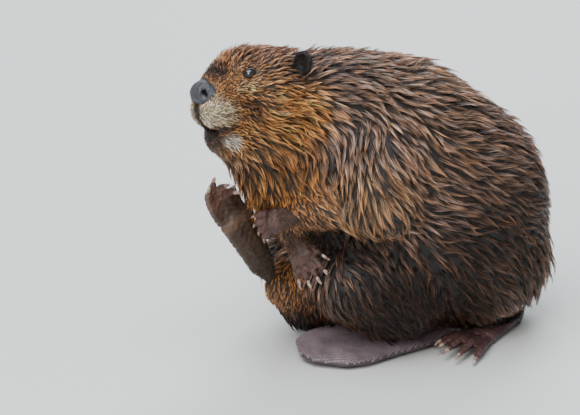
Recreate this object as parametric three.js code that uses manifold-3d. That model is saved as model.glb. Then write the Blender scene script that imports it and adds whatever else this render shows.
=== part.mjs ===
// A North American beaver as a still, life-size model. It sits on its haunches with the tail laid forward
// under the belly, the right hind foot lifted in front of the chest with its sole turned to the animal's
// left, the left hand on that sole and the right hand on the belly.
// Millimetres, +Z up, nose towards -Y, the animal's left side towards +X.
// The outlines are those of the coat.
import * as THREE from "three";
import { mergeVertices } from "three/addons/utils/BufferGeometryUtils.js";
import Module from "manifold-3d";

const wasm = await Module();
wasm.setup();

// ---------------------------------------------------------------- driving sizes
const gap = 0.4; // free space between two nodes
// How far facets may move where meshes are thinned.
const slack = { body: 1.8, head: 0.85, paw: 0.25, cut: 0.18 };
const bodyCell = 18.5; // size of the facets on the trunk
const headCell = { muzzle: 8, nape: 16 };
const blendSize = { trunk: 34, limb: 20, crease: 24, head: 21, lips: 9 };
const headRoll = 0.24; // the crown leans to the animal's right
const headPivot = 345; // height of the axis of that roll

const handSize = { palm: 39, halfWidth: 17, halfThickness: 10, finger: 5.4, claw: 14 };
const fingerLength = [16, 23, 26, 25, 19]; // thumb first
const footSize = { heel: 17, ball: 24.5, sole: 122, halfThickness: 12, toe: 7.8, web: 1.6, claw: 12 };
const toeLength = [42, 56, 70, 74, 64]; // inner toe first
const eyeRadius = 8.2;
const tailSize = { halfWidth: 62, halfThickness: 10.5, roll: 0.05 };

// Places of the joints, as if the fur were skin.
const at = {
  eye: [38.5, -235, 376],
  ear: [52.5, -168, 380.5],
  shoulder: [76, -72, 262],
  elbow: [100, -88, 212],
  leftWrist: [53, -173, 201],
  rightElbow: [-102, -98, 190],
  rightWrist: [29, -172, 164],
  hip: [56, 45, 122],
  knee: [64, -106, 96],
  ankle: [44, 84, 60],
  rightKnee: [-96, -92, 94],
  rightAnkle: [-12, -168, 76],
  tailRoot: [0, 100, 46],
};

// ---------------------------------------------------------------- fields: negative inside, in mm
const mirrored = ([x, y, z]) => [-x, y, z];
const between = (a, b, t) => a.map((v, i) => v + (b[i] - v) * t);

// An ellipsoid, turned about X by `pitch` radians.
function ball([cx, cy, cz], [rx, ry, rz], pitch = 0) {
  const c = Math.cos(pitch);
  const s = Math.sin(pitch);
  return (x, y, z) => {
    const px = (x - cx) / rx;
    const py = ((y - cy) * c + (z - cz) * s) / ry;
    const pz = ((z - cz) * c - (y - cy) * s) / rz;
    const k0 = Math.hypot(px, py, pz);
    const k1 = Math.hypot(px / rx, py / ry, pz / rz);
    return k1 < 1e-9 ? -Math.min(rx, ry, rz) : (k0 * (k0 - 1)) / k1;
  };
}

// A capsule whose radius runs from ra to rb.
function limb(a, b, ra, rb) {
  const d = b.map((v, i) => v - a[i]);
  const length2 = d[0] ** 2 + d[1] ** 2 + d[2] ** 2;
  return (x, y, z) => {
    const dot = (x - a[0]) * d[0] + (y - a[1]) * d[1] + (z - a[2]) * d[2];
    const t = Math.min(1, Math.max(0, dot / length2));
    return Math.hypot(x - a[0] - t * d[0], y - a[1] - t * d[1], z - a[2] - t * d[2]) - ra - t * (rb - ra);
  };
}

// Union with a fillet of about `k`.
function blend(k, ...fields) {
  return (x, y, z) =>
    fields.reduce((low, field) => {
      const next = field(x, y, z);
      const h = Math.max(k - Math.abs(low - next), 0) / k;
      return Math.min(low, next) - (h * h * k) / 4;
    }, 1e3);
}

// `field` less `hollow`, with a rounded rim.
const carve = (k, field, hollow) => {
  const kept = blend(k, (x, y, z) => -field(x, y, z), hollow);
  return (x, y, z) => -kept(x, y, z);
};

const trunkField = blend(
  blendSize.trunk,
  ball([0, 72, 166], [126, 110, 124]), // rump
  ball([0, 56, 101], [112, 108, 105]), // seat
  ball([0, 10, 200], [132, 118, 138]), // belly and loins
  ball([0, -26, 276], [100, 98, 92]), // shoulders
  ball([0, -84, 236], [102, 96, 100]), // chest
  ball([0, -64, 104], [84, 84, 82]), // lower belly between the knees
  ball([0, 98, 80], [102, 92, 76]), // haunches, broad on the floor
);

const neckField = blend(
  blendSize.trunk,
  ball([0, -108, 310], [78, 84, 80]),
  limb([-2, -221, 281], [-6, -184, 231], 35, 37), // throat
  limb([-2, -200, 262], [0, -136, 236], 42, 58), // breast
  ball([-17, -177, 207], [33, 36, 38]), // its fur, hanging between the arms
);

const side = (place, radii, turn) => [ball(place, radii, turn), ball(mirrored(place), radii, turn)];

// From places and fields of a level head to the rolled one.
const onHead = ([x, y, z]) => {
  const [c, s] = [Math.cos(headRoll), Math.sin(headRoll)];
  return [x * c - (z - headPivot) * s, y, headPivot + x * s + (z - headPivot) * c];
};
const inHead = (field) => {
  const [c, s] = [Math.cos(headRoll), Math.sin(headRoll)];
  return (x, y, z) => field(x * c + (z - headPivot) * s, y, headPivot - x * s + (z - headPivot) * c);
};

const upperHead = blend(
  blendSize.head,
  ball([0, -198, 356], [52, 66, 46]), // brain case
  ball([0, -232, 370], [37, 32, 33]), // brow
  ...side([33, -202, 338], [33, 46, 40]), // cheeks
  ball([0, -252, 352], [30, 37, 26], -0.25), // bridge of the nose
  ...side([16, -272, 332], [19, 22, 20]), // whisker pads
);
const jawField = blend(
  blendSize.head,
  ball([0, -262, 299], [21, 22, 18]), // chin
  limb([0, -250, 303], [0, -200, 308], 21, 42),
  ball([0, -196, 322], [34, 52, 34]), // root of the tongue
);
const headField = inHead(blend(blendSize.lips, upperHead, jawField));

const legField = (hip, knee, ankle, ankleRadius) =>
  blend(blendSize.limb, limb(hip, knee, 68, 50), limb(knee, ankle, 48, ankleRadius));
const armField = (shoulder, elbow, wrist) =>
  blend(blendSize.limb, limb(shoulder, elbow, 54, 42), limb(elbow, wrist, 40, 19));

const leftLeg = blend(
  blendSize.limb,
  legField(at.hip, at.knee, at.ankle, 32),
  ball([70, -46, 62], [44, 66, 46]), // calf
);
const rightLeg = blend(
  blendSize.limb,
  legField(mirrored(at.hip), at.rightKnee, at.rightAnkle, 25),
  ball([-34, -120, 46], [42, 46, 42]), // calf, folded under the lifted foot
);
const arms = blend(
  blendSize.limb,
  armField(at.shoulder, at.elbow, at.leftWrist),
  armField(mirrored(at.shoulder), at.rightElbow, at.rightWrist),
);

const torso = blend(blendSize.trunk, trunkField, neckField, headField);
const flesh = blend(blendSize.crease, blend(blendSize.limb, torso, arms), leftLeg, rightLeg);

// ---------------------------------------------------------------- from field to solid
// Grid lines from `low` to `high`, whose spacing runs evenly from `first` to `last`.
function lines(low, high, first, last = first) {
  const mean = (first + last) / 2;
  const count = Math.ceil((high - low) / mean);
  return Array.from({ length: count + 1 }, (_, i) => {
    const t = i / count;
    return low + ((high - low) * (t * first + (t * t * (last - first)) / 2)) / mean;
  });
}

// The closed surface where a field is zero: one vertex in each cell that it crosses, moved onto the zero.
function surfaceOf(field, [xs, ys, zs]) {
  const [nx, ny, nz] = [xs.length, ys.length, zs.length];
  const index = (i, j, k) => i + nx * (j + ny * k);
  const value = new Float64Array(nx * ny * nz);
  for (let k = 0; k < nz; k++)
    for (let j = 0; j < ny; j++)
      for (let i = 0; i < nx; i++) {
        const rim = i * j * k === 0 || i === nx - 1 || j === ny - 1 || k === nz - 1;
        value[index(i, j, k)] = rim ? 1 : field(xs[i], ys[j], zs[k]) || 1e-6;
      }
  const corners = [0, 1, 2, 3, 4, 5, 6, 7].map((c) => [c & 1, (c >> 1) & 1, c >> 2]);
  const edges = [];
  for (let a = 0; a < 8; a++) for (const bit of [1, 2, 4]) if (!(a & bit)) edges.push([a, a | bit]);

  const positions = [];
  const vertexOf = new Int32Array(nx * ny * nz).fill(-1);
  for (let k = 0; k < nz - 1; k++)
    for (let j = 0; j < ny - 1; j++)
      for (let i = 0; i < nx - 1; i++) {
        const v = corners.map(([a, b, c]) => value[index(i + a, j + b, k + c)]);
        const crossings = edges.filter(([a, b]) => v[a] < 0 !== v[b] < 0);
        if (!crossings.length) continue;
        const sum = [0, 0, 0];
        for (const [a, b] of crossings) {
          const t = v[a] / (v[a] - v[b]);
          const from = [xs[i + corners[a][0]], ys[j + corners[a][1]], zs[k + corners[a][2]]];
          const to = [xs[i + corners[b][0]], ys[j + corners[b][1]], zs[k + corners[b][2]]];
          between(from, to, t).forEach((c, axis) => (sum[axis] += c / crossings.length));
        }
        const cell = Math.min(xs[i + 1] - xs[i], ys[j + 1] - ys[j], zs[k + 1] - zs[k]);
        vertexOf[index(i, j, k)] = positions.length / 3;
        positions.push(...settled(field, sum, 0.3 * cell));
      }

  const triangles = [];
  const quad = (a, b, c, d, flip) => {
    const [p, q, r, s] = flip ? [a, d, c, b] : [a, b, c, d];
    const step = (m, n, o) => positions[3 * m + o] - positions[3 * n + o];
    const gap2 = (m, n) => step(m, n, 0) ** 2 + step(m, n, 1) ** 2 + step(m, n, 2) ** 2;
    triangles.push(...(gap2(p, r) < gap2(q, s) ? [p, q, r, p, r, s] : [p, q, s, q, r, s]));
  };
  const cellAt = (i, j, k) => vertexOf[index(i, j, k)];
  for (let k = 1; k < nz - 1; k++)
    for (let j = 1; j < ny - 1; j++)
      for (let i = 1; i < nx - 1; i++) {
        const inside = value[index(i, j, k)] < 0;
        const here = [i, j, k];
        for (const axis of [0, 1, 2]) {
          const next = here.map((v, o) => v + (o === axis ? 1 : 0));
          const back = here.map((v, o) => v - (o === axis ? 1 : 0));
          if (value[index(...next)] < 0 === inside && value[index(...back)] < 0 === inside) continue;
          const [u, w] = [(axis + 1) % 3, (axis + 2) % 3];
          const ring = (along) =>
            [[-1, -1], [0, -1], [0, 0], [-1, 0]].map(([du, dw]) => {
              const c = here.map((v, o) => v + (o === axis ? along : 0));
              c[u] += du;
              c[w] += dw;
              return cellAt(...c);
            });
          if (value[index(...next)] < 0 !== inside) quad(...ring(0), !inside);
          if (here[axis] === 1 && value[index(...back)] < 0 !== inside) quad(...ring(-1), inside);
        }
      }
  return geometryOf(positions, triangles);
}

// `point` moved to the zero of a field, by at most `reach`.
function settled(field, point, reach) {
  let [x, y, z] = point;
  const h = 0.4;
  for (let round = 0; round < 3; round++) {
    const f = field(x, y, z);
    const g = [
      (field(x + h, y, z) - field(x - h, y, z)) / (2 * h),
      (field(x, y + h, z) - field(x, y - h, z)) / (2 * h),
      (field(x, y, z + h) - field(x, y, z - h)) / (2 * h),
    ];
    const g2 = g[0] ** 2 + g[1] ** 2 + g[2] ** 2;
    if (Math.abs(f) > 2 * reach || g2 < 1e-6) break;
    [x, y, z] = [x - (f * g[0]) / g2, y - (f * g[1]) / g2, z - (f * g[2]) / g2];
  }
  const moved = Math.hypot(x - point[0], y - point[1], z - point[2]);
  return between(point, [x, y, z], Math.min(1, reach / Math.max(moved, 1e-9)));
}

function geometryOf(positions, triangles) {
  const geometry = new THREE.BufferGeometry();
  geometry.setAttribute("position", new THREE.Float32BufferAttribute(positions, 3));
  return geometry.setIndex(triangles);
}

function solidOf(geometry) {
  const bare = geometry.clone().deleteAttribute("normal").deleteAttribute("uv");
  const merged = mergeVertices(bare, 1e-3);
  return new wasm.Manifold(
    new wasm.Mesh({
      numProp: 3,
      vertProperties: merged.attributes.position.array,
      triVerts: new Uint32Array(merged.index.array),
    }),
  );
}

function geometryFrom(solid) {
  const { vertProperties, triVerts } = solid.getMesh();
  return geometryOf(Array.from(vertProperties), Array.from(triVerts));
}

const join = (...solids) => solids.reduce((sum, next) => sum.add(next));
const cut = (solid, ...cutters) => cutters.reduce((rest, next) => rest.subtract(next), solid);

// The largest body of a cut solid: thin cuts leave crumbs.
const main = (solid) => solid.decompose().reduce((a, b) => (b.volume() > a.volume() ? b : a));

// A field's solid in a box, with `grow` more all round.
const shape = (field, lines3, grow = 0) => solidOf(surfaceOf((x, y, z) => field(x, y, z) - grow, lines3));

// What is left of a solid on the far side of planes, each a normal and a place on it.
const beyond = (solid, planes, grow = 0) =>
  planes.reduce((rest, [normal, place]) => {
    const n = new THREE.Vector3(...normal).normalize();
    return rest.trimByPlane(n.toArray(), n.dot(new THREE.Vector3(...place)) - grow);
  }, solid);

const space = solidOf(new THREE.BoxGeometry(1600, 1600, 1600));
const wedge = (planes, grow = 0) => beyond(space, planes, grow);
const ground = wedge([[[0, 0, -1], [0, 0, 0]]]);

// ---------------------------------------------------------------- swept parts: tail, soles, digits, claws
const vector = (place) => new THREE.Vector3(...place);

// A closed tube along a smooth curve. `half(t)` gives its half width and thickness; `up` is its thin way.
function sweep(places, half, up, sides, rings) {
  const curve = new THREE.CatmullRomCurve3(places.map(vector), false, "centripetal");
  const geometry = new THREE.CylinderGeometry(1, 1, 1, sides, rings);
  const position = geometry.attributes.position;
  for (let i = 0; i < position.count; i++) {
    const t = THREE.MathUtils.clamp(0.5 - position.getY(i), 0, 1);
    const along = curve.getTangent(t);
    const across = new THREE.Vector3().crossVectors(along, up).normalize();
    const normal = new THREE.Vector3().crossVectors(across, along).normalize();
    const [width, thickness] = half(t);
    const place = curve
      .getPoint(t)
      .addScaledVector(across, position.getX(i) * width)
      .addScaledVector(normal, position.getZ(i) * thickness);
    position.setXYZ(i, place.x, place.y, place.z);
  }
  const solid = solidOf(geometry);
  return solid.volume() < 0 ? solidOf(turnedOut(geometry)) : solid;
}

function turnedOut(geometry) {
  const index = Array.from(geometry.index.array);
  for (let i = 0; i < index.length; i += 3) [index[i + 1], index[i + 2]] = [index[i + 2], index[i + 1]];
  return geometry.clone().setIndex(index);
}

// A rounded taper for `sweep`: radius `from` to `to`, closed over the last `nose` of the length.
const taper = (from, to, flat, nose, grow) => (t) => {
  const tip = Math.sqrt(Math.max(0.32, 1 - Math.max(0, (t - 1 + nose) / nose) ** 2));
  const r = THREE.MathUtils.lerp(from, to, t) * tip;
  return [r + grow, r * flat + grow];
};

// A paw's own axes: `ahead` to the fingers, `back` out of its upper side, `inner` towards the thumb.
function pawFrame(root, ahead, back, isLeft) {
  const a = vector(ahead).normalize();
  const b = vector(back);
  b.addScaledVector(a, -a.dot(b)).normalize();
  const inner = new THREE.Vector3().crossVectors(a, b).multiplyScalar(isLeft ? 1 : -1);
  const place = (forward, sideways, up) =>
    vector(root)
      .addScaledVector(a, forward)
      .addScaledVector(inner, sideways)
      .addScaledVector(b, up)
      .toArray();
  return { place, back: b };
}

// The line of a digit: it leaves `base` at `spread` radians from straight ahead and bends down by `curl`.
function digitLine(frame, [forward, sideways, up], length, spread, curl, rise = 0) {
  const points = [];
  let [f, u] = [0, 0];
  let angle = rise;
  const joints = 4;
  for (let i = 0; i <= joints; i++) {
    points.push(frame.place(forward + f * Math.cos(spread), sideways - f * Math.sin(spread), up + u));
    f += (length / joints) * Math.cos(angle);
    u += (length / joints) * Math.sin(angle);
    angle -= curl / joints;
  }
  return points;
}

// A claw starts just clear of the end of a digit and hooks down.
function claw(points, frame, length, radius, hook) {
  const end = vector(points.at(-1));
  const ahead = end.clone().sub(vector(points.at(-2))).normalize();
  const place = (along, up) =>
    end.clone().addScaledVector(ahead, along).addScaledVector(frame.back, up).toArray();
  const line = [place(gap, 0), place(0.5 * length, 0.06 * length), place(length, -hook * length)];
  return sweep(line, (t) => [radius * (1 - 0.8 * t), 0.8 * radius * (1 - 0.8 * t)], frame.back, 5, 2);
}

// The skin between two toes, from their roots to a hollow edge short of the tips.
function web(frame, left, right, reach, grow) {
  const geometry = new THREE.BoxGeometry(1, 1, 1, 2, 3, 1);
  const [a, b] = [left, right].map((points) => new THREE.CatmullRomCurve3(points.map(vector)));
  const position = geometry.attributes.position;
  for (let i = 0; i < position.count; i++) {
    const u = position.getX(i) + 0.5;
    const v = (position.getY(i) + 0.5) * reach * (1 - 1.5 * u * (1 - u));
    const place = a.getPoint(v).lerp(b.getPoint(v), u);
    place.addScaledVector(frame.back, position.getZ(i) * 2 * (footSize.web + grow) - 0.8);
    position.setXYZ(i, place.x, place.y, place.z);
  }
  const solid = solidOf(geometry);
  return solid.volume() < 0 ? solidOf(turnedOut(geometry)) : solid;
}

// A hind foot: sole, five toes and the webs between them. `pose` gives each toe's spread, curl and rise.
function hindFoot(frame, pose, grow = 0) {
  const { sole, heel, ball: ballWidth, halfThickness, toe } = footSize;
  const soleLine = [0, 0.35, 0.7, 1.04].map((t) => frame.place(sole * t, 0, 0));
  const soleHalf = (t) => {
    const end = Math.sqrt(Math.max(0.1, 1 - Math.max(0, 1 - t / 0.16) ** 2));
    const front = Math.sqrt(Math.max(0.3, 1 - Math.max(0, (t - 0.88) / 0.12) ** 2));
    const width = THREE.MathUtils.lerp(heel, ballWidth, THREE.MathUtils.smoothstep(t, 0.1, 0.8));
    return [width * end * front + grow, (halfThickness - 3.5 * t) * end * front + grow];
  };
  const toes = toeLength.map((length, i) => {
    const sideways = ballWidth * (0.78 - 0.39 * i);
    const { spread, curl, rise = 0 } = pose[i];
    return digitLine(frame, [sole * 0.88, sideways, -1], length, spread, curl, rise);
  });
  const solids = [sweep(soleLine, soleHalf, frame.back, 9, 5)];
  const toeHalf = taper(toe, toe * 0.74, 0.86, 0.12, grow);
  toes.forEach((line) => solids.push(sweep(line, toeHalf, frame.back, 5, 4)));
  toes.slice(1).forEach((line, i) => solids.push(web(frame, toes[i], line, 0.86, grow)));
  const claws = toes.map((line) => claw(line, frame, footSize.claw, 4, 0.16));
  return { flesh: join(...solids), claws };
}

// A hand: palm, five fingers and their claws.
function hand(frame, pose, grow = 0) {
  const { palm, halfWidth, halfThickness, finger } = handSize;
  const palmLine = [-0.35, 0.2, 0.7, 1.08].map((t) => frame.place(palm * t, 0, 0));
  const palmHalf = (t) => {
    const end = Math.sqrt(Math.max(0.12, 1 - Math.max(0, (t - 0.84) / 0.16) ** 2));
    const width = THREE.MathUtils.lerp(halfWidth * 0.72, halfWidth, THREE.MathUtils.smoothstep(t, 0.1, 0.75));
    return [width * end + grow, (halfThickness + 2.5 * (1 - t)) * end + grow];
  };
  const fingers = fingerLength.map((length, i) => {
    const thumb = i === 0;
    const base = [palm * (thumb ? 0.6 : 0.88), halfWidth * (thumb ? 0.85 : 1.1 - 0.44 * i), thumb ? -2 : 0];
    const { spread, curl, rise = 0 } = pose[i];
    return digitLine(frame, base, length, spread, curl, rise);
  });
  const solids = [sweep(palmLine, palmHalf, frame.back, 8, 4)];
  const fingerHalf = taper(finger, finger * 0.8, 0.9, 0.2, grow);
  fingers.forEach((line) => solids.push(sweep(line, fingerHalf, frame.back, 5, 4)));
  const claws = fingers.map((line) => claw(line, frame, handSize.claw, 2.5, 0.22));
  return { flesh: join(...solids), claws };
}

// ---------------------------------------------------------------- the paws in their poses
// Five digits, thumb or inner toe first: sideways spread, curl to the palm, and rise at the root, in radians.
const digits = (spreads, curls, rises) =>
  spreads.map((spread, i) => ({ spread, curl: curls[i], rise: rises[i] }));

const paws = {
  left_hand: {
    make: hand,
    frame: pawFrame([55, -184, 199], [-0.6, -0.73, -0.33], [0.74, -0.36, 0.58], true),
    pose: digits([0.2, -0.12, 0.02, 0.16, 0.34], [0.4, 1.5, 1.7, 1.8, 1.6], [0.15, 0.35, 0.35, 0.25, 0.1]),
  },
  right_hand: {
    make: hand,
    frame: pawFrame([33, -176, 164], [0.61, 0.16, -0.78], [0.66, -0.66, 0.38], false),
    pose: digits([-0.5, -0.27, -0.06, 0.15, 0.36], [0.5, 0.7, 0.7, 0.7, 0.6], [0.1, 0.25, 0.25, 0.2, 0.1]),
  },
  left_foot: {
    make: hindFoot,
    frame: pawFrame([26, 146, 11.4], [0.5, -0.86, -0.03], [0.1, 0, 1], true),
    pose: digits([-0.1, -0.02, 0.08, 0.2, 0.36], [0.42, 0.55, 0.6, 0.6, 0.5], [0.22, 0.33, 0.36, 0.34, 0.26]),
  },
  right_foot: {
    make: hindFoot,
    frame: pawFrame([-8, -187, 92], [-0.05, -0.47, 0.88], [-0.93, -0.05, -0.3], false),
    pose: digits([0.2, 0.14, 0.04, 0.02, 0.04], [1.5, 2.2, 1.9, 1.3, 1.25], [0.2, 0.2, 0.2, 0.15, 0.15]),
  },
};

// ---------------------------------------------------------------- tail, ears, eyes, nose
const tailWidth = (t) => {
  const { halfWidth } = tailSize;
  const spread = THREE.MathUtils.smoothstep(t, 0.08, 0.45);
  const round = Math.sqrt(Math.max(0.05, 1 - Math.max(0, (t - 0.84) / 0.16) ** 2));
  return THREE.MathUtils.lerp(0.55 * halfWidth, halfWidth, spread) * round;
};
const tailThickness = (t) =>
  THREE.MathUtils.lerp(22, tailSize.halfThickness, THREE.MathUtils.smoothstep(t, 0, 0.5));
const tailLine = [at.tailRoot, [4, 62, 23], [16, 4, 12], [36, -84, 10], [62, -172, 9.6]];
const tailUp = new THREE.Vector3(Math.sin(tailSize.roll), 0, Math.cos(tailSize.roll));
const tailTip = (t) => Math.sqrt(Math.max(0.12, 1 - Math.max(0, (t - 0.9) / 0.1) ** 2));
const tailHalf = (grow) => (t) => [tailWidth(t) + grow, tailThickness(t) * tailTip(t) + grow];
const tailSolid = (grow = 0) => sweep(tailLine, tailHalf(grow), tailUp, 14, 14);

// A turned egg on the rolled head, `shift` from its place in its own axes.
function egg(place, radii, turn, shift = [0, 0, 0]) {
  const centre = vector(shift).applyEuler(turn).add(vector(onHead(place)));
  const pose = new THREE.Matrix4().compose(centre, new THREE.Quaternion().setFromEuler(turn), vector(radii));
  return solidOf(new THREE.SphereGeometry(1, 9, 7).applyMatrix4(pose));
}

// An ear stands up from the side of the head, hollow in front.
function earSolid(place, toward, grow = 0) {
  const turn = new THREE.Euler(-0.25, headRoll, toward * 0.55);
  const outer = egg(place, [13 + grow, 8.5 + grow, 17 + grow], turn);
  return grow ? outer : cut(outer, egg(place, [10, 8, 13.5], turn, [0, -5.5, 1.5]));
}

const mouthSolid = egg([0, -288, 312.5], [27, 36, 5.5], new THREE.Euler(0.12, headRoll, 0));

const eyeSolid = (place, grow = 0) =>
  solidOf(new THREE.SphereGeometry(eyeRadius + grow, 10, 7).rotateX(0.3).translate(...onHead(place)));

const noseWings = side([12, -278, 352], [12.5, 16, 12.5]);
const noseField = blend(6, ball([0, -281, 357], [15, 17, 15], 0.15), ...noseWings);
const nostril = (place) => ball(place, [5, 6, 4], 0.4);
const nostrils = [[19.5, -289, 353], [-19.5, -289, 353]];
const noseCarved = nostrils.reduce((nose, place) => carve(2, nose, nostril(place)), noseField);
const noseLines = [lines(-33, 33, 6.6), lines(-308, -260, 6.8), lines(332, 382, 6.6)];
const noseSolid = (grow = 0) => shape(inHead(grow ? noseField : noseCarved), noseLines, grow);

// ---------------------------------------------------------------- parting the flesh
// Each node is the flesh in a wedge of space: planes given by a normal into the node and a place on them.
const parting = {
  head: [[[0, -0.93, 0.36], [0, -146, 380]], [[0, -0.3, 0.95], [0, -236, 262]]],
  neck: [[[0, -0.86, 0.51], [0, -104, 370]]],
  left_arm: [
    [[0.686, -0.504, 0.525], [66, -64, 254]],
    [[0, -1, 0], [0, -18, 0]],
    [[0, 0, -1], [0, 0, 328]],
    [[0, 0.2, 1], [80, -80, 158]],
    [[1, 0, 0], [16, 0, 0]],
  ],
  right_arm: [
    [[-0.351, -0.824, 0.444], [-72, -58, 254]],
    [[0, -1, 0], [0, -18, 0]],
    [[0, 0, -1], [0, 0, 328]],
    [[0, 0.2, 1], [-80, -80, 142]],
    [[-1, 0, 0], [40, 0, 0]],
  ],
  left_leg: [
    [[0.992, 0.102, 0.069], [44, 0, 90]],
    [[0, -1, 0], [0, 108, 0]],
    [[0, -0.45, -1], [80, -60, 172]],
  ],
  right_leg: [
    [[-0.97, -0.2, 0.1], [-46, 0, 90]],
    [[0, -1, 0], [0, 108, 0]],
    [[0, -0.45, -1], [-80, -60, 156]],
  ],
  right_shank: [
    [[-0.35, -0.93, 0], [-2, -140, 76]],
    [[0, -0.15, -1], [-80, -110, 128]],
    [[-1, 0, 0], [30, 0, 0]],
  ],
};

const rooms = [];
const part = (solid, planes) => {
  const mine = cut(solid, ...rooms).intersect(wedge(planes));
  rooms.push(wedge(planes, gap));
  return mine;
};

const nodes = {};
const eyes = [at.eye, mirrored(at.eye)];
const ears = [at.ear, mirrored(at.ear)];
nodes.tail = cut(tailSolid(), ground);
nodes.nose = noseSolid();
eyes.forEach((place, i) => (nodes[`${i ? "right" : "left"}_eye`] = eyeSolid(place)));
ears.forEach((place, i) => (nodes[`${i ? "right" : "left"}_ear`] = earSolid(place, i ? -1 : 1)));

const headDepths = lines(-312, -110, headCell.muzzle, headCell.nape);
const headLines = [lines(-96, 96, 11.3), headDepths, lines(215, 425, 10.2)];
const bodyLines = [lines(-180, 180, bodyCell), lines(-290, 200, bodyCell), lines(-20, 430, bodyCell)];
const headRooms = [
  ...eyes.map((place) => eyeSolid(place, gap)),
  ...ears.map((place, i) => earSolid(place, i ? -1 : 1, gap)),
  noseSolid(gap),
  mouthSolid,
];
const whole = cut(shape(flesh, bodyLines).simplify(slack.body), ground, tailSolid(gap));
nodes.head = cut(part(shape(flesh, headLines).simplify(slack.head), parting.head), ...headRooms);
nodes.neck = part(whole, parting.neck);
nodes.left_arm = part(whole, parting.left_arm);
nodes.right_arm = part(whole, parting.right_arm);
nodes.left_leg = part(whole, parting.left_leg);
const rightLegRoom = (grow) => join(wedge(parting.right_leg, grow), wedge(parting.right_shank, grow));
nodes.right_leg = cut(whole, ...rooms).intersect(rightLegRoom(0));
nodes.trunk = cut(whole, ...rooms, rightLegRoom(gap));

// A paw leaves a little room round the flesh, the tail and the paws before it.
const fleshRoom = shape(flesh, bodyLines, gap + slack.body);
const pawRooms = [fleshRoom, tailSolid(gap), ground];
for (const name of ["right_foot", "left_foot", "right_hand", "left_hand"]) {
  const { make, frame, pose } = paws[name];
  const paw = make(frame, pose);
  const room = make(frame, pose, gap).flesh;
  nodes[name] = cut(main(paw.flesh).simplify(slack.paw), ...pawRooms);
  pawRooms.push(room);
  paw.claws.forEach((solid, i) => (nodes[`${name}_claw_${i + 1}`] = cut(solid, ...pawRooms)));
}

// ---------------------------------------------------------------- materials and the group
const material = (color, roughness) => new THREE.MeshStandardMaterial({ color, roughness, metalness: 0 });
const finish = {
  coat: material(0x5b3a22, 0.75),
  face: material(0x8a5a30, 0.75),
  bare: material(0x2e2421, 0.6),
  tail: material(0x3a2f2d, 0.55),
  claw: material(0x8d6f62, 0.4),
  eye: material(0x0c0a0a, 0.1),
};
const finishOf = (name) => {
  if (name.includes("claw")) return finish.claw;
  if (name.includes("eye")) return finish.eye;
  if (name === "tail") return finish.tail;
  if (/hand|foot|nose|ear$/.test(name)) return finish.bare;
  return name === "head" ? finish.face : finish.coat;
};

const beaver = new THREE.Group();
for (const [name, solid] of Object.entries(nodes)) {
  const mesh = new THREE.Mesh(geometryFrom(main(main(solid).simplify(slack.cut))), finishOf(name));
  mesh.name = name;
  beaver.add(mesh);
}

// The origin is on the floor, under the middle of the model's box.
const box = new THREE.Box3().setFromObject(beaver);
const middle = box.getCenter(new THREE.Vector3());
beaver.position.set(-middle.x, -middle.y, -box.min.z);

export default beaver;
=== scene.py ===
import math
import bpy
import numpy as np
from mathutils import Matrix, Vector, kdtree
from mathutils.bvhtree import BVHTree


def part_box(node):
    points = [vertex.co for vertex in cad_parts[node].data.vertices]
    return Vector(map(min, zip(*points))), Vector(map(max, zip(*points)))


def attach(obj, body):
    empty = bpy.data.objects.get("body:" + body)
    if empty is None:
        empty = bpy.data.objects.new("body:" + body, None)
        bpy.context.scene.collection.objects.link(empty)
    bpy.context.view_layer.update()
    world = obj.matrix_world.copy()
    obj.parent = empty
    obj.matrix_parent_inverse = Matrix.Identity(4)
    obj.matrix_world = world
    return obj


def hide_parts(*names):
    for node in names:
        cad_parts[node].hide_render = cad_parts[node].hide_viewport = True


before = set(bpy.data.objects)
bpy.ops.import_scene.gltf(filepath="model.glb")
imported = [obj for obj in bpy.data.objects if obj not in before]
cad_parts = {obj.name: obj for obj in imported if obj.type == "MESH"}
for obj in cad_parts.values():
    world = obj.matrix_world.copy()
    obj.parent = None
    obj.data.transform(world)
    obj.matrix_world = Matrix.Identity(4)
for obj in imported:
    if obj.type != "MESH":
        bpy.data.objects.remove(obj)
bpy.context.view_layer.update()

scene = bpy.context.scene
rng = np.random.default_rng(7)
print("frame loaded")


# places are in millimetres, nose towards -y and the animal's left towards +x

eyeLevel = (38.5, -235.0, 376.0)  # the left eye while the head is level
eyeCentre = (30.03, -235.0, 384.26)  # and where the roll of the head takes it
headTilt = {"roll": 0.24, "height": 345.0}
nodeEye = sum(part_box("left_eye"), Vector()) / 2
shift = np.array(nodeEye) * 1000 - np.array(eyeCentre)


def metres(points):
    return (np.asarray(points, float) + shift) / 1000


def millimetres(points):
    return np.asarray(points, float) * 1000 - shift


def onHead(points):  # from a level head to the tilted one
    p = np.atleast_2d(np.asarray(points, float))
    c, s = math.cos(headTilt["roll"]), math.sin(headTilt["roll"])
    z = p[:, 2] - headTilt["height"]
    return np.column_stack([p[:, 0] * c - z * s, p[:, 1], headTilt["height"] + p[:, 0] * s + z * c])


def inHead(points):  # and back
    p = np.atleast_2d(np.asarray(points, float))
    c, s = math.cos(headTilt["roll"]), math.sin(headTilt["roll"])
    z = p[:, 2] - headTilt["height"]
    return np.column_stack([p[:, 0] * c + z * s, p[:, 1], headTilt["height"] - p[:, 0] * s + z * c])


def mirrored(place, sign):  # on the animal's left with 1, on its right with -1
    return np.array(place) * (sign, 1, 1)


def eyePlace(sign):
    return onHead(mirrored(eyeLevel, sign))[0]


def unit(vectors):
    return vectors / np.maximum(np.linalg.norm(vectors, axis=-1, keepdims=True), 1e-9)


def smoothStep(low, high, value):
    t = np.clip((value - low) / (high - low), 0, 1)
    return t * t * (3 - 2 * t)


def toBall(p, centre, radii):  # distance to an egg's surface, near enough
    q = (p - np.array(centre)) / np.array(radii)
    k = np.linalg.norm(q, axis=1)
    return k * (k - 1) / np.maximum(np.linalg.norm(q / np.array(radii), axis=1), 1e-9)


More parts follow.
